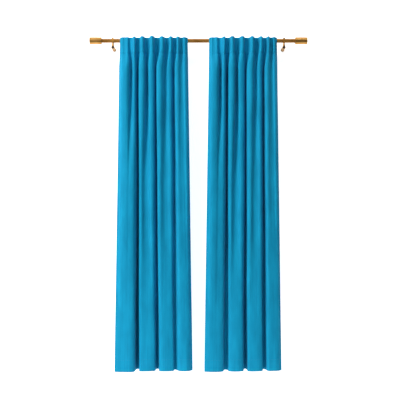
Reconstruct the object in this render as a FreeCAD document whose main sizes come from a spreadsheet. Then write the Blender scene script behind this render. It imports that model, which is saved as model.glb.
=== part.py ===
import FreeCAD, Part
import math
import os
import Sketcher

# Pair of back-tab window curtains on a round metal rod, carried by two wall brackets.
# Frame: millimetres, +Z up, +Y into the wall, wall face at y = 0. The origin is on the wall,
# midway between the centres of the two bracket screw holes.

doc = FreeCAD.newDocument("curtains_on_rod")
sheet = doc.addObject("Spreadsheet::Sheet", "Sizes")

SIZES = {
    # rod
    "rod_radius": 12.7,
    "rod_wall": 1.2,
    "rod_overhang": 90.5,
    "rod_projection": 75,
    "rod_rise": 43,
    # end caps
    "cap_radius": 22.5,
    "cap_length": 76,
    "cap_wall": 1.5,
    "cap_edge": 1.2,
    "collar_length": 18,
    "rod_running_gap": 0.05,
    "ring_gap": 0.05,
    # brackets
    "bracket_spacing": 1092,
    "rosette_radius": 12,
    "rosette_thick": 5,
    "rosette_edge": 1,
    "boss_length": 8,
    "wall_screw_radius": 2.6,
    "arm_radius": 10,
    "arm_bore_radius": 8,
    "arm_reach": 84,
    "arm_edge": 0.8,
    "plug_depth": 6,
    "plug_proud": 0.8,
    "neck_foot_radius": 8.5,
    "neck_top_radius": 5.2,
    "neck_root": 5,
    "spigot_radius": 3,
    "spigot_gap": 0.05,
    "saddle_width": 12,
    "saddle_wall": 2.2,
    "saddle_gap": 0.3,
    "saddle_above_rod": 3.5,
    # grub screws
    "grub_radius": 2.5,
    "grub_length": 7,
    "grub_gap": 0.05,
    "grub_boss_radius": 5,
    "grub_boss_length": 3,
    "hex_flat_radius": 1.45,
    "hex_depth": 2.5,
    "tip_gap": 0.3,
    # cloth
    "cloth_thick": 1,
    "bracket_to_panel": 49,
    "middle_to_panel": 72,
    "hem_flare_outer": 39,
    "hem_flare_inner": 31,
    "heading_above_rod": 22,
    "panel_drop": 2134,
    "leg_length": 34,
    "layer_gap": 0.6,
    "side_gap": 0.6,
    "rod_cloth_gap": 0.8,
    "tab_width": 20,
    "tab_thick": 1.2,
    "tab_gap": 0.4,
    "tab_sewn_top": 7,
    "tab_sewn_bottom": 14,
    "tab_zone": 56,
    "gather_travel": 111,
}
TAB_COUNT = 8
SIDES = {"left": -1, "right": 1}

for row, (alias, value) in enumerate(SIZES.items(), start=1):
    sheet.set(f"A{row}", alias)
    sheet.set(f"B{row}", str(value))
    sheet.setAlias(f"B{row}", alias)
doc.recompute()

PARTS = []


def cell(words):
    """Expression text with every size name turned into its cell of the sheet."""
    out = str(words)
    for alias in sorted(SIZES, key=len, reverse=True):
        out = out.replace(f"[{alias}]", f"Sizes.{alias}")
    return out


def bind(obj, prop, words):
    """Ties one property to the sheet."""
    obj.setExpression(prop, cell(words))


def move(obj, x="0", y="0", z="0", axis=None, degrees=0):
    """Places an object: a fixed turn about an axis, then a place tied to the sheet."""
    turn = FreeCAD.Rotation(FreeCAD.Vector(*(axis or (0, 0, 1))), degrees)
    obj.Placement = FreeCAD.Placement(FreeCAD.Vector(0, 0, 0), turn)
    for name, words in (("x", x), ("y", y), ("z", z)):
        bind(obj, f"Placement.Base.{name}", words)
    return obj


def cylinder(name, radius, length):
    obj = doc.addObject("Part::Cylinder", name)
    bind(obj, "Radius", radius)
    bind(obj, "Height", length)
    return obj


def rod_along_x(name, radius, length, y="0", z="0"):
    """Cylinder along X, centred on x = 0."""
    obj = cylinder(name, radius, length)
    return move(obj, f"-({length}) / 2", y, z, (0, 1, 0), 90)


def box(name, x, y, z):
    """Box between two expressions on each axis."""
    obj = doc.addObject("Part::Box", name)
    for prop, span in (("Length", x), ("Width", y), ("Height", z)):
        bind(obj, prop, f"({span[1]}) - ({span[0]})")
    return move(obj, x[0], y[0], z[0])


def cone(name, bottom, top, length):
    obj = doc.addObject("Part::Cone", name)
    bind(obj, "Radius1", bottom)
    bind(obj, "Radius2", top)
    bind(obj, "Height", length)
    return obj


def cut(name, base, tool):
    obj = doc.addObject("Part::Cut", name)
    obj.Base = base
    obj.Tool = tool
    return obj


def fuse(name, *pieces):
    obj = doc.addObject("Part::MultiFuse", name)
    obj.Shapes = list(pieces)
    obj.Refine = True
    return obj


def sub_part(obj, label):
    """Names a finished sub-part and keeps it for export."""
    obj.Label = label
    PARTS.append(obj)
    return obj


def lathe(name, profile):
    """Body turned about its own X axis from (along, radius) corners tied to the sheet."""
    body = doc.addObject("PartDesign::Body", name)
    sketch = body.newObject("Sketcher::SketchObject", f"{name}_profile")
    plane = next(f for f in body.Origin.OriginFeatures if f.Role == "XZ_Plane")
    sketch.AttachmentSupport = [(plane, "")]
    sketch.MapMode = "FlatFace"
    corners = [
        FreeCAD.Vector(
            float(sheet.evalExpression(cell(along))),
            float(sheet.evalExpression(cell(radius))),
            0,
        )
        for along, radius in profile
    ]
    count = len(corners)
    for index in range(count):
        sketch.addGeometry(Part.LineSegment(corners[index], corners[(index + 1) % count]))
    for index in range(count):
        sketch.addConstraint(Sketcher.Constraint("Coincident", index, 2, (index + 1) % count, 1))
    for index, (along, radius) in enumerate(profile):
        for kind, words, here, line in (
            ("DistanceX", along, corners[index].x, -2),
            ("DistanceY", radius, corners[index].y, -1),
        ):
            if str(words) == "0":
                sketch.addConstraint(Sketcher.Constraint("PointOnObject", index, 1, line))
                continue
            number = sketch.addConstraint(Sketcher.Constraint(kind, -1, 1, index, 1, here))
            sketch.setExpression(f"Constraints[{number}]", cell(words))
    turned = body.newObject("PartDesign::Revolution", f"{name}_turned")
    turned.Profile = sketch
    turned.ReferenceAxis = (sketch, ["H_Axis"])
    turned.Angle = 360
    body.Tip = turned
    return body


def grub_screw(name):
    """Headless screw along +X from its tip at x = 0, with a hexagon socket in its far end."""
    shank = rod_along_x(f"{name}_shank", "[grub_radius]", "[grub_length]")
    bind(shank, "Placement.Base.x", "0")
    socket = doc.addObject("Part::Prism", f"{name}_socket")
    socket.Polygon = 6
    bind(socket, "Circumradius", "[hex_flat_radius]")
    bind(socket, "Height", "[hex_depth] + 1")
    move(socket, "[grub_length] - [hex_depth]", axis=(0, 1, 0), degrees=90)
    return cut(name, shank, socket)


ROD_Y = "-[rod_projection]"
ROD_Z = "[rod_rise]"
SADDLE_BORE = "([rod_radius] + [saddle_gap])"
SADDLE_OUTER = "([rod_radius] + [saddle_gap] + [saddle_wall])"
ROD_HALF = "([bracket_spacing] / 2 + [rod_overhang])"
PANEL_OUTER_TOP = "([bracket_spacing] / 2 - [bracket_to_panel])"
PANEL_OUTER_HEM = f"({PANEL_OUTER_TOP} + [hem_flare_outer])"
PANEL_WIDTH_TOP = f"({PANEL_OUTER_TOP} - [middle_to_panel])"
PANEL_WIDTH_HEM = f"({PANEL_WIDTH_TOP} + [hem_flare_outer] + [hem_flare_inner])"
PITCH_TOP = f"({PANEL_WIDTH_TOP} / {TAB_COUNT})"
PITCH_HEM = f"({PANEL_WIDTH_HEM} / {TAB_COUNT})"
CLOSE_STEP = f"([gather_travel] / {TAB_COUNT - 1})"
CLOSE_TOP = f"({PITCH_TOP} - {CLOSE_STEP})"
CLOSE_HEM = f"({PITCH_HEM} - {CLOSE_STEP})"
LOBE_TOP = f"(({CLOSE_TOP} - 4 * [side_gap]) / 2)"
LOBE_HEM = f"(({CLOSE_HEM} - 4 * [side_gap]) / 2)"
FLANGE_TOP = f"({CLOSE_TOP} - [side_gap])"
FLANGE_HEM = f"({CLOSE_HEM} - [side_gap])"
HEADER_FLANGE = f"({CLOSE_TOP} - [tab_width] / 2 - [side_gap])"
BACK_LAYER = "([rod_radius] + [rod_cloth_gap])"
FRONT_LAYER = f"({BACK_LAYER} + [cloth_thick] + [layer_gap])"
HOLE_RADIUS = "([grub_radius] + [grub_gap])"


def make_rod():
    start = f"-{ROD_HALF}"
    bore = "[rod_radius] - [rod_wall]"
    rod = lathe(
        "rod_tube",
        [(start, bore), (ROD_HALF, bore), (ROD_HALF, "[rod_radius]"), (start, "[rod_radius]")],
    )
    sub_part(move(rod, y=ROD_Y, z=ROD_Z), "rod_tube")


def cap_hole(name, sign):
    """Cross hole for a cap's grub screw, towards the wall, in the cap's own frame.

    A cap's own X points away from the rod, so the wall is on its -Y side at the left end."""
    hole = cylinder(name, HOLE_RADIUS, "[cap_radius] + 5")
    return move(hole, "[collar_length] / 2", axis=(1, 0, 0), degrees=-90 * sign)


def make_cap(side, sign):
    """End cap: turned shell, the collar that takes the rod's end, and the grub screw at the back."""
    start = f"({ROD_HALF} - [collar_length])"
    inner = "[cap_radius] - [cap_wall]"
    shell = lathe(
        f"{side}_cap_blank",
        [
            ("0", inner),
            ("0", "[cap_radius]"),
            ("[cap_length] - [cap_edge]", "[cap_radius]"),
            ("[cap_length]", "[cap_radius] - [cap_edge]"),
            ("[cap_length]", "0"),
            ("[cap_length] - [cap_wall]", "0"),
            ("[cap_length] - [cap_wall]", inner),
        ],
    )
    collar_end = "[collar_length]"
    collar_outer = f"{inner} - [ring_gap]"
    collar_bore = "[rod_radius] + [rod_running_gap]"
    collar = lathe(
        f"{side}_collar_blank",
        [("0", collar_bore), ("0", collar_outer), (collar_end, collar_outer), (collar_end, collar_bore)],
    )
    turn = 0 if sign > 0 else 180
    where = {"x": f"{sign} * {start}", "y": ROD_Y, "z": ROD_Z}
    for blank, name in ((shell, "shell"), (collar, "collar")):
        drilled = cut(f"{side}_cap_{name}", blank, cap_hole(f"{side}_cap_{name}_hole", sign))
        sub_part(move(drilled, axis=(0, 0, 1), degrees=turn, **where), f"{side}_cap_{name}")
    screw = grub_screw(f"{side}_cap_screw")
    sub_part(
        move(
            screw,
            f"{sign} * ({start} + [collar_length] / 2)",
            f"{ROD_Y} + [rod_radius] + [tip_gap]",
            ROD_Z,
            (0, 0, 1),
            90,
        ),
        f"{side}_cap_screw",
    )


def make_bracket(side, sign):
    """Wall bracket: rosette, hollow arm, plug in the arm's end, saddle for the rod, grub screw."""
    x = f"{sign} * [bracket_spacing] / 2"
    to_room = {"axis": (0, 0, 1), "degrees": -90}
    boss = "[arm_bore_radius] - [ring_gap]"
    rosette = lathe(
        f"{side}_wall_rosette",
        [
            ("0", "[wall_screw_radius]"),
            ("0", "[rosette_radius]"),
            ("[rosette_thick] - [rosette_edge]", "[rosette_radius]"),
            ("[rosette_thick]", "[rosette_radius] - [rosette_edge]"),
            ("[rosette_thick]", boss),
            ("[rosette_thick] + [boss_length]", boss),
            ("[rosette_thick] + [boss_length]", "[wall_screw_radius]"),
        ],
    )
    sub_part(move(rosette, x, **to_room), f"{side}_wall_rosette")

    tube = lathe(
        f"{side}_arm_blank",
        [
            ("[rosette_thick]", "[arm_bore_radius]"),
            ("[rosette_thick]", "[arm_radius]"),
            ("[arm_reach] - [arm_edge]", "[arm_radius]"),
            ("[arm_reach]", "[arm_radius] - [arm_edge]"),
            ("[arm_reach]", "[arm_bore_radius]"),
        ],
    )
    spigot_hole = cylinder(
        f"{side}_arm_hole", "[spigot_radius] + [spigot_gap]", "[arm_radius] + 5"
    )
    move(spigot_hole, "[rod_projection]")
    arm = cut(f"{side}_bracket_arm", tube, spigot_hole)
    sub_part(move(arm, x, **to_room), f"{side}_bracket_arm")

    plug_radius = "[arm_bore_radius] - [ring_gap]"
    plug_end = "[arm_reach] + [plug_proud]"
    plug = lathe(
        f"{side}_arm_plug",
        [
            ("[arm_reach] - [plug_depth]", "0"),
            ("[arm_reach] - [plug_depth]", plug_radius),
            ("[arm_reach]", plug_radius),
            (plug_end, f"{plug_radius} - [plug_proud]"),
            (plug_end, "0"),
        ],
    )
    sub_part(move(plug, x, **to_room), f"{side}_arm_plug")

    neck = cone(
        f"{side}_neck",
        "[neck_foot_radius]",
        "[neck_top_radius]",
        f"[rod_rise] - {SADDLE_BORE}",
    )
    arm_space = rod_along_x(f"{side}_arm_space", "[arm_radius]", "4 * [arm_radius]")
    move(arm_space, y="-2 * [arm_radius]", axis=(1, 0, 0), degrees=-90)
    trimmed_neck = cut(f"{side}_trimmed_neck", neck, arm_space)
    spigot_foot = "([arm_bore_radius] + [ring_gap])"
    spigot_top = "([arm_radius] + [neck_root])"
    spigot = cylinder(f"{side}_spigot", "[spigot_radius]", f"{spigot_top} - {spigot_foot}")
    move(spigot, z=spigot_foot)
    rim = f"[rod_rise] + [rod_radius] + [saddle_above_rod]"
    half_width = "[saddle_width] / 2"
    width = (f"-{half_width}", half_width)
    round_out = rod_along_x(f"{side}_saddle_round", SADDLE_OUTER, "[saddle_width]", z=ROD_Z)
    walls = box(
        f"{side}_saddle_walls", width, (f"-{SADDLE_OUTER}", SADDLE_OUTER), (ROD_Z, rim)
    )
    grub_boss = cylinder(
        f"{side}_grub_boss", "[grub_boss_radius]", f"{SADDLE_OUTER} + [grub_boss_length]"
    )
    move(grub_boss, z=ROD_Z, axis=(1, 0, 0), degrees=-90)
    solid = fuse(f"{side}_saddle_solid", trimmed_neck, spigot, round_out, walls, grub_boss)
    round_in = rod_along_x(
        f"{side}_saddle_bore", SADDLE_BORE, "2 * [saddle_width]", z=ROD_Z
    )
    slot = box(
        f"{side}_saddle_slot",
        ("-[saddle_width]", "[saddle_width]"),
        (f"-{SADDLE_BORE}", SADDLE_BORE),
        (ROD_Z, f"{rim} + 1"),
    )
    grub_hole = cylinder(f"{side}_grub_hole", HOLE_RADIUS, "3 * [rod_radius]")
    move(grub_hole, z=ROD_Z, axis=(1, 0, 0), degrees=-90)
    saddle = cut(
        f"{side}_saddle", solid, fuse(f"{side}_saddle_space", round_in, slot, grub_hole)
    )
    sub_part(move(saddle, x, ROD_Y), f"{side}_saddle")

    screw = grub_screw(f"{side}_saddle_screw")
    sub_part(
        move(screw, x, f"{ROD_Y} + [rod_radius] + [tip_gap]", ROD_Z, (0, 0, 1), 90),
        f"{side}_saddle_screw",
    )


def c_section(name, radius, reach):
    """Stadium-ended bar along X: round at the wall side of the rod, straight towards the cloth."""
    wide = "2 * [tab_width]" if name.endswith("space") else "[tab_width]"
    bend = rod_along_x(f"{name}_bend", radius, wide)
    legs = box(
        f"{name}_legs", (f"-({wide}) / 2", f"({wide}) / 2"), (f"-({reach})", "0"), (f"-({radius})", radius)
    )
    return fuse(name, bend, legs)


def make_tab(name, x, seat):
    """Strap that passes behind the rod and is sewn to the back of the cloth at both ends."""
    inner = "([rod_radius] + [tab_gap])"
    outer = f"({inner} + [tab_thick])"
    space = c_section(f"{name}_space", inner, f"{seat} + 5")
    loop = cut(f"{name}_loop", c_section(f"{name}_bar", outer, seat), space)
    half = "[tab_width] / 2"
    ends = [
        box(
            f"{name}_{end}",
            (f"-{half}", half),
            (f"-({seat})", f"-({seat}) + [tab_thick]"),
            span,
        )
        for end, span in (
            ("sewn_top", (inner, f"{outer} + [tab_sewn_top]")),
            ("sewn_bottom", (f"-({outer} + [tab_sewn_bottom])", f"-{inner}")),
        )
    ]
    strap = fuse(name, loop, *ends)
    sub_part(move(strap, x, ROD_Y, ROD_Z), name)


def lobe(name, inset, back):
    """Tapering U-shaped column, round in front, its top at z = 0 and its back at y = back."""
    top = f"({LOBE_TOP} - {inset})"
    hem = f"({LOBE_HEM} - {inset})"
    front = cone(f"{name}_front", hem, top, "[panel_drop]")
    move(front, y="-[leg_length]", z="-[panel_drop]")
    legs = taper(
        f"{name}_legs",
        (f"-{top}", top),
        (f"-{hem}", hem),
        ("-[leg_length]", back),
        ("0", "[panel_drop]"),
    )
    return fuse(f"{name}_lobe", front, legs)


def taper(name, top, hem, depth, span):
    """Plate of even depth that widens evenly downwards, between two drops below z = 0."""
    plate = doc.addObject("Part::Wedge", name)
    for prop, words in (
        ("Xmin", top[0]),
        ("Xmax", top[1]),
        ("X2min", hem[0]),
        ("X2max", hem[1]),
        ("Ymin", span[0]),
        ("Ymax", span[1]),
        ("Zmin", depth[0]),
        ("Zmax", depth[1]),
        ("Z2min", depth[0]),
        ("Z2max", depth[1]),
    ):
        bind(plate, prop, words)
    return move(plate, axis=(1, 0, 0), degrees=-90)


def flange_span(flange, fold, free_side):
    """Low and high edge of a flange, which stops at its own fold on a free side edge."""
    low = fold if free_side < 0 else flange
    high = fold if free_side > 0 else flange
    return (f"-{low}", high)


def make_pleat(name, odd, x_top, lean, free_side):
    """One upright fold of the cloth. Odd folds run in front of the flanges of the even ones.

    free_side is -1 or +1 where the panel ends on that side of the fold, or 0 inside the panel."""
    back = "0" if odd else "([layer_gap] + [cloth_thick])"
    space_back = "-1" if odd else "[layer_gap]"
    outer = lobe(f"{name}_outer", "0", back)
    if odd:
        inner = lobe(f"{name}_inner", "[cloth_thick]", "5")
        shell = cut(f"{name}_shell", outer, inner)
        web = box(
            f"{name}_web",
            (f"-{LOBE_TOP}", LOBE_TOP),
            ("-[cloth_thick]", "0"),
            ("-[tab_zone]", "0"),
        )
        pieces = [shell, web]
    else:
        inner = lobe(f"{name}_inner", "[cloth_thick]", "[layer_gap]")
        shell = cut(f"{name}_shell", outer, inner)
        depth = ("[layer_gap]", back)
        header = box(
            f"{name}_header",
            flange_span(HEADER_FLANGE, LOBE_TOP, free_side),
            depth,
            ("-[tab_zone]", "0"),
        )
        flange = taper(
            f"{name}_flange",
            flange_span(FLANGE_TOP, LOBE_TOP, free_side),
            flange_span(FLANGE_HEM, LOBE_HEM, free_side),
            depth,
            ("[tab_zone]", "[panel_drop]"),
        )
        pieces = [shell, header, flange]
    pleat = fuse(name, *pieces)
    move(
        pleat,
        x_top,
        f"{ROD_Y} - {FRONT_LAYER}",
        "[rod_rise] + [heading_above_rod]",
        (0, 1, 0),
        lean,
    )
    sub_part(pleat, name)


def make_panel(side, sign):
    for number in range(1, TAB_COUNT + 1):
        odd = number % 2 == 1
        x_top = f"{sign} * ({PANEL_OUTER_TOP} - {number - 0.5} * {PITCH_TOP})"
        x_hem = f"{sign} * ({PANEL_OUTER_HEM} - {number - 0.5} * {PITCH_HEM})"
        shift = float(sheet.evalExpression(cell(f"({x_hem}) - ({x_top})")))
        lean = -math.degrees(math.asin(shift / float(SIZES["panel_drop"])))
        free_side = {1: sign, TAB_COUNT: -sign}.get(number, 0)
        make_pleat(f"{side}_pleat_{number}", odd, x_top, lean, free_side)
        make_tab(f"{side}_tab_{number}", x_top, FRONT_LAYER if odd else BACK_LAYER)


make_rod()
for side_name, side_sign in SIDES.items():
    make_cap(side_name, side_sign)
    make_bracket(side_name, side_sign)
    make_panel(side_name, side_sign)

doc.recompute()

bad = [obj.Name for obj in doc.Objects if {"Invalid", "Error"} & set(obj.State)]
bad += [p.Label for p in PARTS if p.Shape.isNull() or not p.Shape.isValid()]
if bad:
    raise RuntimeError("objects that failed: " + ", ".join(bad))

os.makedirs("parts", exist_ok=True)
for part in PARTS:
    part.Shape.exportStep(f"parts/{part.Label}.step")
    print(part.Label, len(part.Shape.Solids), round(part.Shape.Volume), flush=True)
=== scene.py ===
"""A pair of back-tab window curtains on a brass rod with end caps and two wall brackets."""
import math

import bpy
import numpy as np
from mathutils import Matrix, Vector


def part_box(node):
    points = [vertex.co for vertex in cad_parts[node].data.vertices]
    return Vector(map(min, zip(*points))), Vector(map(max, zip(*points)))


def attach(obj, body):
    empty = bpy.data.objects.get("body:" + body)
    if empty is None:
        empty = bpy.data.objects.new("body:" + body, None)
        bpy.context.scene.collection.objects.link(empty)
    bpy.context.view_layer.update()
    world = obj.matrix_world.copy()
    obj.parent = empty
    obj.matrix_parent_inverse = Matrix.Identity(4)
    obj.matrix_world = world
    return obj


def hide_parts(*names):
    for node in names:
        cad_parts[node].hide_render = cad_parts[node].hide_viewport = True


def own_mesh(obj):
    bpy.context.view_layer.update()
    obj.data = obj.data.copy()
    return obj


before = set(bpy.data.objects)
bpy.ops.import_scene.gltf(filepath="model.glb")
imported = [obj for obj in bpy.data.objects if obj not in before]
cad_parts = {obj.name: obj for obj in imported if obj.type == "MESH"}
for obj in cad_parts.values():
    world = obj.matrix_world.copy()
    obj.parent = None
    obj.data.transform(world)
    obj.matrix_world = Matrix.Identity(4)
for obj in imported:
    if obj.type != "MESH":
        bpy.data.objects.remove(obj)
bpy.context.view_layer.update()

MM = 0.001

# ---------------------------------------------------------------- sizes from the frame
rod_low, rod_high = (np.array(corner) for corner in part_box("rod_tube"))
ROD_Y = (rod_low[1] + rod_high[1]) / 2
ROD_Z = (rod_low[2] + rod_high[2]) / 2
ROD_RADIUS = (rod_high[2] - rod_low[2]) / 2
ROD_FRONT = ROD_Y - ROD_RADIUS
TAB_COUNT = 8
SIDES = {"left": -1, "right": 1}

# ---------------------------------------------------------------- sizes of the cloth, in metres
FLAT_WIDTH = 1067 * MM          # a 42 in panel
HEADING_RISE = 17 * MM          # cloth above the rod's axis
HEM_DROP = 2099 * MM            # hem below the rod's axis
TOP = ROD_Z + HEADING_RISE
HEM = ROD_Z - HEM_DROP
HEADING = 104 * MM              # depth of the stiffened heading
BOTTOM_HEM = 76 * MM            # depth of the turned-up hem
SIDE_HEM = 25 * MM              # width of the turned-in side hems
CLOTH_THICK = 0.6 * MM
THREAD_SPACING = 1.2 * MM       # as drawn; the real threads are 0.5 mm apart
CLOTH_BACK = ROD_FRONT - 3.0 * MM   # where the cloth passes the rod in its valleys
DEPTH_TOP = 46 * MM             # front to back of the folds in the heading
DEPTH_BODY = 80 * MM            # the same just below the heading
DEPTH_HEM = 95 * MM             # the same at the hem
STRAP_HALF = 10 * MM            # half the width of a back tab
STRAP_THICK = 0.8 * MM
STRAP_CLEAR = 0.8 * MM          # from the rod to the middle of the strap round it
STRAP_BEND = 2 * MM             # bend where the strap leaves the cloth
STRAP_ABOVE = 6 * MM            # sewn length above the rod
STRAP_BELOW = 22 * MM           # sewn length below the rod
LINING_GAP = 1.0 * MM           # from the cloth to the facing and hems turned in behind it
STRAP_SEAT = 2.1 * MM           # from the cloth to the tab sewn on behind its facing
FLOOR_BELOW = 225 * MM          # from the hem down to the floor
HANG_BACK = 36 * MM             # how far the valleys swing back under the rod towards the hem
# Outer and inner edge of a panel from the middle of the window, at its top and at its hem.
OUTER = (499 * MM, 528 * MM)
INNER = (68 * MM, 37 * MM)

# Each valley between two folds: its place across the panel from left to right, at the rod, just below
# the heading and at the hem, then how deep it is at the rod, below the heading, halfway and at the hem.
VALLEYS = {
    "left": [
        (0.068, 0.090, 0.095, 0.35, 0.03, 0.00, 0.00),
        (0.160, 0.172, 0.165, 1.00, 0.74, 0.08, 0.00),
        (0.262, 0.278, 0.283, 1.00, 1.00, 1.00, 1.00),
        (0.402, 0.408, 0.440, 1.00, 0.88, 0.58, 0.04),
        (0.552, 0.534, 0.536, 1.00, 1.00, 1.00, 1.00),
        (0.697, 0.680, 0.705, 1.00, 0.70, 0.42, 0.04),
        (0.808, 0.784, 0.762, 1.00, 0.98, 0.95, 0.84),
        (0.906, 0.925, 0.955, 0.80, 0.50, 0.36, 0.12),
    ],
    "right": [
        (0.070, 0.090, 0.095, 0.35, 0.03, 0.00, 0.00),
        (0.163, 0.166, 0.160, 1.00, 0.80, 0.14, 0.00),
        (0.268, 0.278, 0.279, 1.00, 1.00, 1.00, 0.82),
        (0.412, 0.418, 0.430, 1.00, 0.90, 0.60, 0.05),
        (0.562, 0.546, 0.527, 1.00, 1.00, 1.00, 1.00),
        (0.702, 0.690, 0.690, 1.00, 0.74, 0.46, 0.06),
        (0.824, 0.794, 0.762, 1.00, 1.00, 1.00, 0.96),
        (0.915, 0.932, 0.955, 0.80, 0.50, 0.36, 0.12),
    ],
}
# The levels that those values belong to, as shares of the drop.
PLACE_LEVELS = (0.0, 0.025, 0.105, 1.0)
DEPTH_LEVELS = (0.0, 0.025, 0.105, 0.48, 1.0)
EDGE_DEPTH = (0.8, 0.8, 0.5, 0.12)   # how far the free edges turn back, at the place levels
# How far each of the nine ridges between the valleys stands out of the stiffened heading.
RIDGES = {
    "left": (0.40, 0.42, 1.0, 0.96, 1.06, 0.90, 0.96, 0.92, 0.46),
    "right": (0.40, 0.42, 1.0, 1.00, 1.04, 0.94, 0.90, 0.96, 0.48),
}
# Below the heading the broad folds between these valleys slope back towards the right, each by its
# own share of the fold depth.
BROAD = (0, 3, 5, 7, 9)
SLOPES = (0.04, 0.36, 0.40, 0.52)
SLOPE_START = 0.14      # how far a broad fold runs before it slopes back, in valley spacings
NARROW = 0.18           # sideways draw of the cloth into a valley, as a share of the valleys' spacing
DRAW_HEADING = -0.22    # share of that draw in the heading, where it is the other way
DRAW_BODY = 0.92        # and below it
LOOP = 0.42             # how much a valley opens out again behind its mouth
LOOP_HEADING = 0.85     # share of that opening in the heading
FULL = 0.60             # power that fills out the folds' fronts below the heading; 1 leaves them round
SWAY = 0.002            # how far a valley wanders across the panel on its way down
LEAN = 7 * MM           # how far the folds lean to the left below the heading
# Levels, as shares of the drop, over which the stiffened heading, the fold depth and the swing back
# under the rod change.
HEADING_LEVELS = (0, 0.022, 0.095, 1)
FOLD_LEVELS = (0, 0.035, 0.10, 1)
SWING_LEVELS = (0, 0.03, 0.12, 1)


# ---------------------------------------------------------------- colours and nodes
def srgb(text):
    """Turns a hex colour such as "1497cc" into linear red, green, blue and alpha."""
    parts = [int(text[i : i + 2], 16) / 255 for i in (0, 2, 4)]
    return tuple(c / 12.92 if c <= 0.04045 else ((c + 0.055) / 1.055) ** 2.4 for c in parts) + (1.0,)


def add(tree, kind, links=None, **settings):
    """Adds a node, sets its properties and its unlinked sockets, and links the rest."""
    node = tree.nodes.new(kind)
    for name, value in settings.items():
        if hasattr(node, name):
            setattr(node, name, value)
        else:
            node.inputs[name.replace("_", " ")].default_value = value
    for name, source in (links or {}).items():
        tree.links.new(source, node.inputs[name])
    return node


def new_material(name):
    """A new material, its node tree and its Principled shader."""
    material = bpy.data.materials.new(name)
    material.use_nodes = True
    tree = material.node_tree
    return material, tree, tree.nodes["Principled BSDF"]


def ramp(tree, source, *stops):
    """Colour ramp through (place, colour) stops."""
    node = add(tree, "ShaderNodeValToRGB", {"Fac": source})
    elements = node.color_ramp.elements
    while len(elements) < len(stops):
        elements.new(0.5)
    for element, (place, colour) in zip(elements, stops):
        element.position = place
        element.color = colour
    return node.outputs["Color"]


# ---------------------------------------------------------------- materials
def woven_polyester(name, base, dark, light):
    """Dyed plain-weave polyester curtaining: matt, faint upright streaks where the yarn varies, and a
    fine weave. The 0.5 mm threads are drawn 1.2 mm apart, so that the weave shows close up."""
    material, tree, shader = new_material(name)
    place = add(tree, "ShaderNodeUVMap", uv_map="flat").outputs["UV"]
    streaks = add(tree, "ShaderNodeMapping", {"Vector": place})
    streaks.inputs["Scale"].default_value = (260.0, 2.2, 1.0)
    yarn = add(tree, "ShaderNodeTexNoise", {"Vector": streaks.outputs["Vector"]}, Scale=1.0, Detail=3.0)
    cloudy = add(tree, "ShaderNodeMapping", {"Vector": place})
    cloudy.inputs["Scale"].default_value = (14.0, 5.0, 1.0)
    patches = add(tree, "ShaderNodeTexNoise", {"Vector": cloudy.outputs["Vector"]}, Scale=1.0, Detail=2.0)
    mixed = add(
        tree, "ShaderNodeMath", {0: yarn.outputs["Fac"], 1: patches.outputs["Fac"]}, operation="ADD"
    )
    half = add(tree, "ShaderNodeMath", {0: mixed.outputs[0]}, operation="MULTIPLY")
    half.inputs[1].default_value = 0.5
    colour = ramp(tree, half.outputs[0], (0.35, srgb(dark)), (0.5, srgb(base)), (0.65, srgb(light)))
    thread = math.pi / THREAD_SPACING
    split = add(tree, "ShaderNodeSeparateXYZ", {"Vector": place})
    waves = []
    for axis in ("X", "Y"):
        scaled = add(tree, "ShaderNodeMath", {0: split.outputs[axis]}, operation="MULTIPLY")
        scaled.inputs[1].default_value = thread
        waves.append(add(tree, "ShaderNodeMath", {0: scaled.outputs[0]}, operation="SINE").outputs[0])
    weave = add(tree, "ShaderNodeMath", {0: waves[0], 1: waves[1]}, operation="MULTIPLY")
    height = add(
        tree, "ShaderNodeMath", {0: weave.outputs[0], 1: yarn.outputs["Fac"]}, operation="ADD"
    )
    bump = add(tree, "ShaderNodeBump", {"Height": height.outputs[0]}, Strength=0.25, Distance=0.15 * MM)
    tree.links.new(colour, shader.inputs["Base Color"])
    tree.links.new(bump.outputs["Normal"], shader.inputs["Normal"])
    shader.inputs["Roughness"].default_value = 0.72
    shader.inputs["Sheen Weight"].default_value = 0.04
    shader.inputs["Sheen Roughness"].default_value = 0.4
    shader.inputs["Specular IOR Level"].default_value = 0.12
    return material


def sewing_thread():
    """Spun polyester thread dyed to match, a little darker and smoother than the cloth."""
    material, tree, shader = new_material("spun_polyester_thread")
    where = add(tree, "ShaderNodeTexCoord").outputs["Object"]
    twist = add(tree, "ShaderNodeTexNoise", {"Vector": where}, Scale=900.0, Detail=1.0)
    colour = ramp(tree, twist.outputs["Fac"], (0.3, srgb("0c6f9c")), (0.7, srgb("1a93c4")))
    tree.links.new(colour, shader.inputs["Base Color"])
    shader.inputs["Roughness"].default_value = 0.5
    return material


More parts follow.
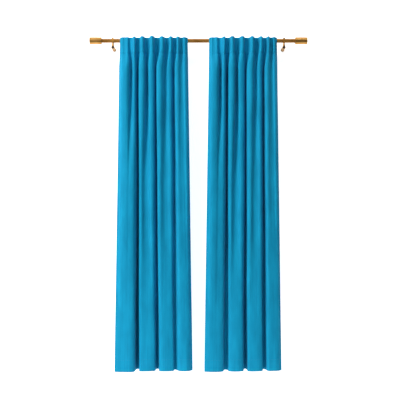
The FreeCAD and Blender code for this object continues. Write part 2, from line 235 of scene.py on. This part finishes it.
def lacquered_brass(name, light, dark, roughness, stretch):
    """Brass under clear lacquer: fine lines or grain, as the three scales of stretch along x, y and z
    make it, and cloudier patches where the lacquer is thicker."""
    material, tree, shader = new_material(name)
    where = add(tree, "ShaderNodeTexCoord").outputs["Object"]
    lines = add(tree, "ShaderNodeMapping", {"Vector": where})
    lines.inputs["Scale"].default_value = stretch
    brushing = add(tree, "ShaderNodeTexNoise", {"Vector": lines.outputs["Vector"]}, Scale=1.0, Detail=4.0)
    patches = add(tree, "ShaderNodeTexNoise", {"Vector": where}, Scale=18.0, Detail=3.0)
    colour = ramp(tree, patches.outputs["Fac"], (0.3, srgb(dark)), (0.7, srgb(light)))
    rough = add(tree, "ShaderNodeMapRange", {"Value": brushing.outputs["Fac"]})
    rough.inputs["To Min"].default_value = roughness - 0.06
    rough.inputs["To Max"].default_value = roughness + 0.10
    bump = add(
        tree, "ShaderNodeBump", {"Height": brushing.outputs["Fac"]}, Strength=0.08, Distance=0.05 * MM
    )
    tree.links.new(colour, shader.inputs["Base Color"])
    tree.links.new(rough.outputs["Result"], shader.inputs["Roughness"])
    tree.links.new(bump.outputs["Normal"], shader.inputs["Normal"])
    shader.inputs["Metallic"].default_value = 1.0
    return material


def near_black_end_plug():
    """Near-black, brown-tinted colour for the bracket arms' end plugs, with a fine noise bump."""
    material, tree, shader = new_material("near_black_end_plug_finish")
    where = add(tree, "ShaderNodeTexCoord").outputs["Object"]
    skin = add(tree, "ShaderNodeTexNoise", {"Vector": where}, Scale=700.0, Detail=2.0)
    # Two near-black brown tones, so that the end of each arm reads dark.
    colour = ramp(tree, skin.outputs["Fac"], (0.3, srgb("130b06")), (0.7, srgb("1e140c")))
    bump = add(tree, "ShaderNodeBump", {"Height": skin.outputs["Fac"]}, Strength=0.1, Distance=0.05 * MM)
    tree.links.new(colour, shader.inputs["Base Color"])
    tree.links.new(bump.outputs["Normal"], shader.inputs["Normal"])
    shader.inputs["Roughness"].default_value = 0.5
    return material


def blackened_screw():
    """Blackened steel grub screw, with a thin oily sheen."""
    material, tree, shader = new_material("blackened_steel")
    where = add(tree, "ShaderNodeTexCoord").outputs["Object"]
    stain = add(tree, "ShaderNodeTexNoise", {"Vector": where}, Scale=900.0, Detail=2.0)
    colour = ramp(tree, stain.outputs["Fac"], (0.3, srgb("2b2826")), (0.7, srgb("45403c")))
    tree.links.new(colour, shader.inputs["Base Color"])
    shader.inputs["Metallic"].default_value = 1.0
    shader.inputs["Roughness"].default_value = 0.4
    return material


# ---------------------------------------------------------------- the cloth's surface
def eased(levels, values, at):
    """Passes through values at levels, easing in and out between each pair."""
    index = np.clip(np.searchsorted(levels, at, side="right") - 1, 0, len(levels) - 2)
    low, high = np.array(levels)[index], np.array(levels)[index + 1]
    share = np.clip((at - low) / (high - low), 0, 1)
    share = share * share * (3 - 2 * share)
    values = np.array(values)
    return values[index] * (1 - share) + values[index + 1] * share


def smooth_between(places, p):
    """Quadratic B-spline led by the places at whole numbers of p, mirrored about both ends. It rounds
    them off a little, so it passes near a place rather than through it."""
    padded = np.concatenate([2 * places[:1] - places[1:2], places, 2 * places[-1:] - places[-2:-1]])
    total = 0
    for number, place in enumerate(padded, start=-1):
        away = np.abs(p - number)
        near_part = 0.75 - away**2
        far_part = 0.5 * np.clip(1.5 - away, 0, None) ** 2
        total = total + np.where(away < 0.5, near_part, far_part) * place[:, None]
    return total


def fold_plan(side, down):
    """Place across the panel and depth of its left edge, valleys 1 to 8 and right edge, at each level."""
    edge_depth = eased(PLACE_LEVELS, EDGE_DEPTH, down)
    places, depths = [np.zeros_like(down)], [edge_depth]
    for number, (p0, p1, p2, d0, d1, d2, d3) in enumerate(VALLEYS[side], start=1):
        sway = SWAY * down * np.sin(5.0 * down + 2.4 * number)
        places.append(eased(PLACE_LEVELS, (p0, p0, p1, p2), down) + sway)
        depths.append(eased(DEPTH_LEVELS, (d0, d0, d1, d2, d3), down))
    return np.array([*places, np.ones_like(down)]), np.array([*depths, edge_depth])


def fold_bites(places, depths, p, in_heading):
    """What the valleys take away: the bite out of the fold depth and the pull of the cloth sideways.

    Every valley takes a raised-cosine bite out of the fold depth, one fold wide where its neighbours are
    deep and two folds wide where they fade out. A sine of the same width draws the cloth sideways into
    the valley, and one of half that width lets it open out again at the back, so that full round folds
    in front alternate with small loops behind narrow mouths."""
    bite, pull = 0, 0
    draw = DRAW_BODY * (1 - in_heading) + DRAW_HEADING * in_heading
    loop = LOOP * (1 - (1 - LOOP_HEADING) * in_heading)
    for number in range(TAB_COUNT + 2):
        near = p - number
        before, after = max(number - 1, 0), min(number + 1, TAB_COUNT + 1)
        spacing = ((places[after] - places[before]) / (after - before))[:, None]
        beside = [depths[n] for n in (before, after) if n != number]
        wide = (1 - np.mean(beside, axis=0))[:, None]
        strength = depths[number][:, None]
        in_slim = np.abs(near) < 0.5
        in_broad = np.abs(near) < 1
        slim = np.where(in_slim, 0.5 + 0.5 * np.cos(2 * np.pi * near), 0)
        broad = np.where(in_broad, np.cos(np.pi * near / 2) ** 2, 0)
        bite = bite + strength * (slim * (1 - wide) + broad * wide)
        slim_pull = draw * np.sin(2 * np.pi * near) - loop * np.sin(4 * np.pi * near)
        broad_pull = draw * np.sin(np.pi * near) - loop * np.sin(2 * np.pi * near)
        pull = pull + NARROW * spacing * strength * (
            np.where(in_slim, slim_pull, 0) * (1 - wide) + 2 * np.where(in_broad, broad_pull, 0) * wide
        )
    return bite, pull


def fall_back(p):
    """How far the broad folds slope back towards the right, as a share of the fold depth."""
    steps, falls = [0], [0]
    for start, end, slope in zip(BROAD, BROAD[1:], SLOPES):
        steps += [start + SLOPE_START, end - SLOPE_START]
        falls += [0, slope]
    quarters = np.arange(0, TAB_COUNT + 2, 0.25)
    return smooth_between(np.interp(quarters, steps, falls)[:, None], 4 * p)


def cloth_rows(side, z):
    """The cloth's centre line, seen from above, at each height z, as dense x and y rows.

    A parameter p runs from 0 at the left edge over valley 1 to 8 to 9 at the right edge. The line's x
    follows the valleys' places, less the pull into them, and is fitted between the panel's edges.
    Its y stands forward of the back by the fold depth times what the valleys leave of it, raised to a
    power below 1 to fill out the fronts, times the ridge's height in the heading and what the slope of
    the broad folds leaves below it."""
    down = (TOP - z) / (TOP - HEM)
    p = np.linspace(0, TAB_COUNT + 1, 1801)[None, :]
    level = down[:, None]
    places, depths = fold_plan(side, down)
    in_heading = eased(HEADING_LEVELS, (1, 1, 0, 0), down)[:, None]
    bite, pull = fold_bites(places, depths, p, in_heading)
    out = np.clip(1 - bite, 0, None) ** (FULL + (1 - FULL) * in_heading)

    x = smooth_between(places, p) - pull
    low, high = x.min(axis=1, keepdims=True), x.max(axis=1, keepdims=True)
    sign = SIDES[side]
    outer = sign * (OUTER[0] + (OUTER[1] - OUTER[0]) * level)
    inner = sign * (INNER[0] + (INNER[1] - INNER[0]) * level)
    left, right = (outer, inner) if sign < 0 else (inner, outer)
    x = left + (x - low) / (high - low) * (right - left)
    x = x - LEAN * (1 - in_heading) * out * np.sin(np.pi * (x - left) / (right - left))

    depth = eased(FOLD_LEVELS, (DEPTH_TOP, DEPTH_TOP, DEPTH_BODY, DEPTH_HEM), down)[:, None]
    ridge = np.interp(p[0], np.arange(TAB_COUNT + 1) + 0.5, RIDGES[side])[None, :]
    height = in_heading * ridge * out**0.25 + (1 - in_heading) * (1 - fall_back(p))
    uneven = 1 + 0.04 * np.sin(17 * x + 3 * level) + 0.03 * np.sin(38 * x - 2 * level)
    back = CLOTH_BACK + HANG_BACK * eased(SWING_LEVELS, (0, 0, 0.6, 1), down)[:, None]
    return x, back - depth * uneven * height * out


def cloth_points(side, z, shares, back=0.0):
    """Points of the cloth at heights z and at shares of its flat width, moved back off the surface.

    Each row is measured along its own curve, so a share is always the same thread of the cloth. Small
    waves, a crease at each seam and the drawn-up cloth beside it are added across the surface."""
    x, y = cloth_rows(side, z)
    step = np.hypot(np.diff(x, axis=1), np.diff(y, axis=1))
    length = np.concatenate([np.zeros((len(z), 1)), np.cumsum(step, axis=1)], axis=1)
    slope_x, slope_y = np.gradient(x, axis=1), np.gradient(y, axis=1)
    size = np.hypot(slope_x, slope_y)
    normal_x, normal_y = -slope_y / size, slope_x / size
    out = np.empty((len(z), len(shares), 3))
    turn = np.empty((len(z), len(shares), 3))
    for row in range(len(z)):
        want = shares * length[row, -1]
        out[row, :, 0] = np.interp(want, length[row], x[row])
        out[row, :, 1] = np.interp(want, length[row], y[row])
        turn[row, :, 0] = np.interp(want, length[row], normal_x[row])
        turn[row, :, 1] = np.interp(want, length[row], normal_y[row])
    out[:, :, 2] = z[:, None]
    turn[:, :, 2] = 0
    turn /= np.linalg.norm(turn, axis=2, keepdims=True)
    s = (shares * FLAT_WIDTH)[None, :]
    zz = z[:, None]
    down = (TOP - zz) / (TOP - HEM)
    seed = 1.0 if side == "left" else 3.7
    ripple = (
        0.9 * np.sin(s / 0.047 + 3 * np.sin(5 * down + seed))
        + 0.6 * np.sin(s / 0.029 + 11 * down + 2 * seed)
        + 0.35 * np.sin(s / 0.017 - 23 * down + seed)
    ) * MM * np.clip(down * 6, 0, 1)
    seam = TOP - HEADING
    crease = 2.6 * MM * np.exp(-(((zz - seam) / (5 * MM)) ** 2))
    drawn = 0.5 * MM * np.sin(s / 0.0023 + 1.3 * np.sin(s / 0.05)) * np.exp(-np.abs(zz - seam) / (12 * MM))
    hem_line = 0.7 * MM * np.exp(-(((zz - HEM - BOTTOM_HEM) / (4 * MM)) ** 2))
    shift = ripple + crease + drawn + hem_line + back
    return out + turn * shift[:, :, None], turn


def rows_between(low, high, step):
    """Heights from high down to low, about a step apart."""
    count = max(2, int(round((high - low) / step)) + 1)
    return np.linspace(high, low, count)


def finish_cloth(piece, material, thick):
    """Gives the piece its material and a wall of this thickness, half to each side of the surface."""
    piece.data.materials.append(material)
    piece.data.shade_smooth()
    if thick:
        wall = piece.modifiers.new("thickness", "SOLIDIFY")
        wall.thickness = thick
        wall.offset = 0
    return piece


def grid_piece(name, points, flat, material, thick=0.0):
    """Mesh of quads over a grid of points, facing the room, with its flat place in the map "flat"."""
    rows, cols = points.shape[:2]
    index = np.arange(rows * cols).reshape(rows, cols)
    quads = np.stack([index[:-1, :-1], index[1:, :-1], index[1:, 1:], index[:-1, 1:]], axis=-1)
    mesh = bpy.data.meshes.new(name)
    mesh.from_pydata(points.reshape(-1, 3).tolist(), [], quads.reshape(-1, 4).tolist())
    layer = mesh.uv_layers.new(name="flat")
    loops = np.empty(len(mesh.loops), dtype=np.int32)
    mesh.loops.foreach_get("vertex_index", loops)
    layer.data.foreach_set("uv", flat.reshape(-1, 2)[loops].astype(np.float32).ravel())
    piece = bpy.data.objects.new(name, mesh)
    bpy.context.scene.collection.objects.link(piece)
    return finish_cloth(piece, material, thick)


def flat_place(shares, z):
    """Flat place of each grid point in metres: across the cloth, and down from its top."""
    across, downwards = np.meshgrid(shares * FLAT_WIDTH, TOP - z)
    return np.stack([across, downwards], axis=-1)


def strip(name, side, z, shares, back, material, thick):
    """A piece of cloth over heights z and shares of the panel's width, lying back off its surface."""
    points, _ = cloth_points(side, z, shares, back)
    return grid_piece(name, points, flat_place(shares, z), material, thick)


def stitches(name, points, along, out, length, radius, material):
    """Stitches of thread: each a six-sided spindle lying along the seam and bulging off the cloth."""
    rings = np.array([(-0.5, 0.15), (-0.28, 0.9), (0.28, 0.9), (0.5, 0.15)])
    angle = np.arange(6) / 6 * 2 * np.pi
    side = np.cross(along, out)
    verts = (
        points[:, None, None, :]
        + along[:, None, None, :] * (rings[:, 0] * length)[None, :, None, None]
        + out[:, None, None, :] * (rings[:, 1][:, None] * np.cos(angle) * radius)[None, :, :, None]
        + side[:, None, None, :] * (rings[:, 1][:, None] * np.sin(angle) * radius)[None, :, :, None]
    )
    ring, step = np.meshgrid(np.arange(3), np.arange(6), indexing="ij")
    nxt = (step + 1) % 6
    quad = np.stack([ring * 6 + step, ring * 6 + nxt, (ring + 1) * 6 + nxt, (ring + 1) * 6 + step], axis=-1)
    quad = quad.reshape(-1, 4)
    start = np.arange(len(points))[:, None, None] * 24
    faces = (quad[None] + start).reshape(-1, 4).tolist()
    ends = (np.stack([np.arange(6)[::-1], 18 + np.arange(6)])[None] + start).reshape(-1, 6).tolist()
    mesh = bpy.data.meshes.new(name)
    mesh.from_pydata(verts.reshape(-1, 3).tolist(), [], faces + ends)
    mesh.materials.append(material)
    mesh.shade_smooth()
    piece = bpy.data.objects.new(name, mesh)
    bpy.context.scene.collection.objects.link(piece)
    return piece


def seam_across(name, side, height, off, material, pitch=4.5 * MM):
    """A row of stitches across the cloth at one height."""
    shares = (np.arange(int(FLAT_WIDTH / pitch)) + 0.5) * pitch / FLAT_WIDTH
    middle, out = cloth_points(side, np.array([height]), shares, off)
    nearby, _ = cloth_points(side, np.array([height]), shares + 0.0005, off)
    along = nearby[0] - middle[0]
    along /= np.linalg.norm(along, axis=1, keepdims=True)
    return stitches(name, middle[0], along, out[0], 0.75 * pitch, 0.35 * MM, material)


def seam_down(name, side, share, off, material, pitch=6 * MM):
    """A row of stitches down the cloth at one share of its width."""
    z = np.arange(HEM + 8 * MM, TOP - 4 * MM, pitch)
    middle, out = cloth_points(side, z, np.array([share]), off)
    nearby, _ = cloth_points(side, z + 0.5 * MM, np.array([share]), off)
    along = nearby[:, 0] - middle[:, 0]
    along /= np.linalg.norm(along, axis=1, keepdims=True)
    return stitches(name, middle[:, 0], along, out[:, 0], 0.7 * pitch, 0.35 * MM, material)


# ---------------------------------------------------------------- back tabs
def tab_strap(name, x, cloth_y, material):
    """Folded strap: sewn to the cloth above the rod, over and round the back of the rod, and sewn on
    again below it. Its profile is straight runs and a half circle, carried across the strap's width."""
    radius = ROD_RADIUS + STRAP_CLEAR
    seat = cloth_y + STRAP_SEAT
    turn = np.linspace(math.pi / 2, -math.pi / 2, 17)
    corner = np.linspace(0, math.pi / 2, 5)
    above = [(seat, min(radius + STRAP_ABOVE, HEADING_RISE - 1 * MM))]
    above += [
        (seat + STRAP_BEND * (1 - math.cos(a)), radius + STRAP_BEND * (1 - math.sin(a))) for a in corner
    ]
    below = [(y, -rise) for y, rise in above[:0:-1]] + [(seat, -radius - STRAP_BELOW)]
    round_rod = [(ROD_Y + radius * math.cos(a), radius * math.sin(a)) for a in turn]
    profile = np.array(above + round_rod + below)
    across = np.linspace(-STRAP_HALF, STRAP_HALF, 9)
    bow = 0.25 * MM * np.cos(across / STRAP_HALF * math.pi / 2)
    points = np.empty((len(profile), len(across), 3))
    points[:, :, 0] = x + across
    points[:, :, 1] = profile[:, 0][:, None] - bow
    points[:, :, 2] = ROD_Z + profile[:, 1][:, None]
    run = np.concatenate([[0], np.cumsum(np.hypot(*np.diff(profile, axis=0).T))])
    across_flat, down_flat = np.meshgrid(across + STRAP_HALF, run)
    flat = np.stack([across_flat, down_flat], axis=-1)
    return grid_piece(name, points, flat, material, STRAP_THICK), (2 * STRAP_HALF, float(run[-1]))


def make_panel(side, cloth, lining, thread):
    """One curtain panel: the cloth with its hems, its stiffened heading, seams and back tabs."""
    first, last = f"{side}_fold_1", f"{side}_fold_{TAB_COUNT}"
    tabs = [f"{side}_tab_{n}" for n in range(1, TAB_COUNT + 1)]

    z = np.concatenate([
        rows_between(TOP - HEADING - 24 * MM, TOP, 5 * MM),
        rows_between(HEM + BOTTOM_HEM + 16 * MM, TOP - HEADING - 24 * MM, 15 * MM)[1:],
        rows_between(HEM, HEM + BOTTOM_HEM + 16 * MM, 8 * MM)[1:],
    ])
    shares = np.linspace(0, 1, 281)
    main = strip(f"{side}_curtain_cloth", side, z, shares, 0.0, cloth, CLOTH_THICK)
    edge = SIDE_HEM / FLAT_WIDTH
    facing = strip(
        f"{side}_heading_facing", side, rows_between(TOP - HEADING, TOP - 1 * MM, 7 * MM),
        np.linspace(0.002, 0.998, 240), LINING_GAP, lining, CLOTH_THICK,
    )
    hem = strip(
        f"{side}_bottom_hem", side, rows_between(HEM + 1 * MM, HEM + BOTTOM_HEM, 12 * MM),
        np.linspace(0.002, 0.998, 240), LINING_GAP, lining, CLOTH_THICK,
    )
    long_rows = rows_between(HEM + BOTTOM_HEM + 2 * MM, TOP - HEADING - 2 * MM, 15 * MM)
    side_hems = [
        strip(f"{side}_side_hem_{word}", side, long_rows, span, LINING_GAP, lining, CLOTH_THICK)
        for word, span in (
            ("a", np.linspace(0.001, edge, 7)),
            ("b", np.linspace(1 - edge, 0.999, 7)),
        )
    ]
    front = -(CLOTH_THICK / 2 + 0.1 * MM)
    seams = [
        seam_across(f"{side}_heading_stitches", side, TOP - HEADING + 3 * MM, front, thread),
        seam_across(f"{side}_hem_stitches", side, HEM + BOTTOM_HEM - 3 * MM, front, thread),
        seam_down(f"{side}_side_stitches_a", side, edge * 0.9, front, thread),
        seam_down(f"{side}_side_stitches_b", side, 1 - edge * 0.9, front, thread),
    ]
    extras = [facing, hem, *side_hems, *seams]
    for piece in [main, *extras]:
        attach(piece, first)
        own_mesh(piece)
    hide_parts(*(f"{side}_pleat_{n}" for n in range(1, TAB_COUNT + 1)))

    rod_x, rod_y = (row[0] for row in cloth_rows(side, np.array([ROD_Z])))
    valley_step = (len(rod_x) - 1) // (TAB_COUNT + 1)
    for number, tab in enumerate(tabs, start=1):
        valley = number if side == "left" else TAB_COUNT + 1 - number
        place = valley * valley_step
        strap, flat = tab_strap(f"{side}_back_tab_{number}", rod_x[place], rod_y[place], lining)
        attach(strap, f"{side}_fold_{number}")
        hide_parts(tab)


# ---------------------------------------------------------------- stage, light and camera
def stage_plane(name, corners, colour, glow, one_sided=False):
    """Matt studio sheet. It is lit from behind a little, so that only soft shadows show on it."""
    mesh = bpy.data.meshes.new(name)
    mesh.from_pydata(corners, [], [(0, 1, 2, 3)])
    material, tree, shader = new_material(name)
    shader.inputs["Base Color"].default_value = srgb(colour)
    shader.inputs["Roughness"].default_value = 1.0
    shader.inputs["Specular IOR Level"].default_value = 0.0
    shader.inputs["Emission Color"].default_value = srgb("ffffff")
    shader.inputs["Emission Strength"].default_value = glow
    if one_sided:
        clear = add(tree, "ShaderNodeBsdfTransparent")
        facing = add(tree, "ShaderNodeNewGeometry")
        mix = add(
            tree,
            "ShaderNodeMixShader",
            {0: facing.outputs["Backfacing"], 1: shader.outputs[0], 2: clear.outputs[0]},
        )
        tree.links.new(mix.outputs[0], tree.nodes["Material Output"].inputs["Surface"])
    mesh.materials.append(material)
    plane = bpy.data.objects.new(name, mesh)
    bpy.context.scene.collection.objects.link(plane)
    return plane


def area_light(name, place, aim, size, watts):
    """White softbox at place, turned to face aim. Size is its width and height in metres."""
    data = bpy.data.lights.new(name, "AREA")
    data.shape = "RECTANGLE"
    data.size, data.size_y = size
    data.energy = watts
    lamp = bpy.data.objects.new(name, data)
    lamp.location = place
    direction = Vector(aim) - Vector(place)
    lamp.rotation_euler = direction.to_track_quat("-Z", "Y").to_euler()
    bpy.context.scene.collection.objects.link(lamp)


def make_stage():
    """Pale floor and wall, faint even light from all round, and three softboxes: a strong one from the
    left, a weak one from the front and a long one over the rod, which draws a line along the brass."""
    floor = HEM - FLOOR_BELOW
    wide, near, far = 9.0, 1.6, 9.0
    stage_plane(
        "pale_floor",
        [(-wide, -near, floor), (wide, -near, floor), (wide, far, floor), (-wide, far, floor)],
        "f6f6f6",
        0.12,
    )
    stage_plane(
        "pale_wall",
        [(-wide, 0.001, floor), (wide, 0.001, floor), (wide, 0.001, 5.0), (-wide, 0.001, 5.0)],
        "f6f6f6",
        0.79,
        one_sided=True,
    )
    world = bpy.data.worlds.new("studio")
    world.use_nodes = True
    world.node_tree.nodes["Background"].inputs["Color"].default_value = srgb("ffffff")
    world.node_tree.nodes["Background"].inputs["Strength"].default_value = 0.10
    scene = bpy.context.scene
    scene.world = world
    scene.view_settings.view_transform = "Standard"
    area_light("key", (-3.7, -3.9, 0.75), (0.0, -0.1, -0.7), (1.4, 3.6), 300)
    area_light("front", (0.6, -4.2, 3.0), (0.0, 0.0, -0.2), (3.2, 2.4), 24)
    area_light("overhead", (0.0, -1.25, 1.75), (0.0, -0.1, 0.0), (3.4, 0.5), 22)


CAMERA_ASIDE = 10 * MM      # to the right of the middle of the window
CAMERA_AWAY = 4500 * MM     # in front of the rod
CAMERA_BELOW = 1017 * MM    # below the rod


def make_camera():
    """Level camera in front of the middle of the panels."""
    data = bpy.data.cameras.new("camera")
    data.sensor_width = 36
    data.lens = 63.4
    camera = bpy.data.objects.new("camera", data)
    camera.location = (CAMERA_ASIDE, ROD_Y - CAMERA_AWAY, ROD_Z - CAMERA_BELOW)
    camera.rotation_euler = (math.pi / 2, 0, 0)
    bpy.context.scene.collection.objects.link(camera)
    bpy.context.scene.camera = camera


def dress_hardware():
    """Gives each hardware node its metal or plastic."""
    rod_brass = lacquered_brass("lacquered_brass_tube", "ab7c41", "8e622c", 0.42, (8.0, 900.0, 900.0))
    # The caps' brass is coloured lighter than the rod's brass: a painted highlight that brightens the line
    # of light along the caps.
    cap_brass_with_painted_highlight = lacquered_brass("turned_brass_cap_painted_highlight", "cc9c58", "ad7e40", 0.34, (900.0, 60.0, 60.0))
    cast_brass = lacquered_brass("cast_brass_bracket", "c29046", "a0702f", 0.42, (300.0, 300.0, 300.0))
    plug, steel = near_black_end_plug(), blackened_screw()
    chosen = {"rod_tube": rod_brass}
    for side in SIDES:
        for node in ("cap_shell", "cap_collar"):
            chosen[f"{side}_{node}"] = cap_brass_with_painted_highlight
        for node in ("wall_rosette", "bracket_arm", "saddle"):
            chosen[f"{side}_{node}"] = cast_brass
        chosen[f"{side}_arm_plug"] = plug
        for node in ("cap_screw", "saddle_screw"):
            chosen[f"{side}_{node}"] = steel
    for node, material in chosen.items():
        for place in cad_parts[node].material_slots:
            place.material = material


front_cloth = woven_polyester("dyed_woven_polyester", "0a91ba", "0786ae", "0e9cc5")
back_cloth = woven_polyester("dyed_woven_polyester_facing", "0f90b5", "0b85a9", "139ac0")
thread = sewing_thread()
for side_name in SIDES:
    make_panel(side_name, front_cloth, back_cloth, thread)
dress_hardware()
make_stage()
make_camera()
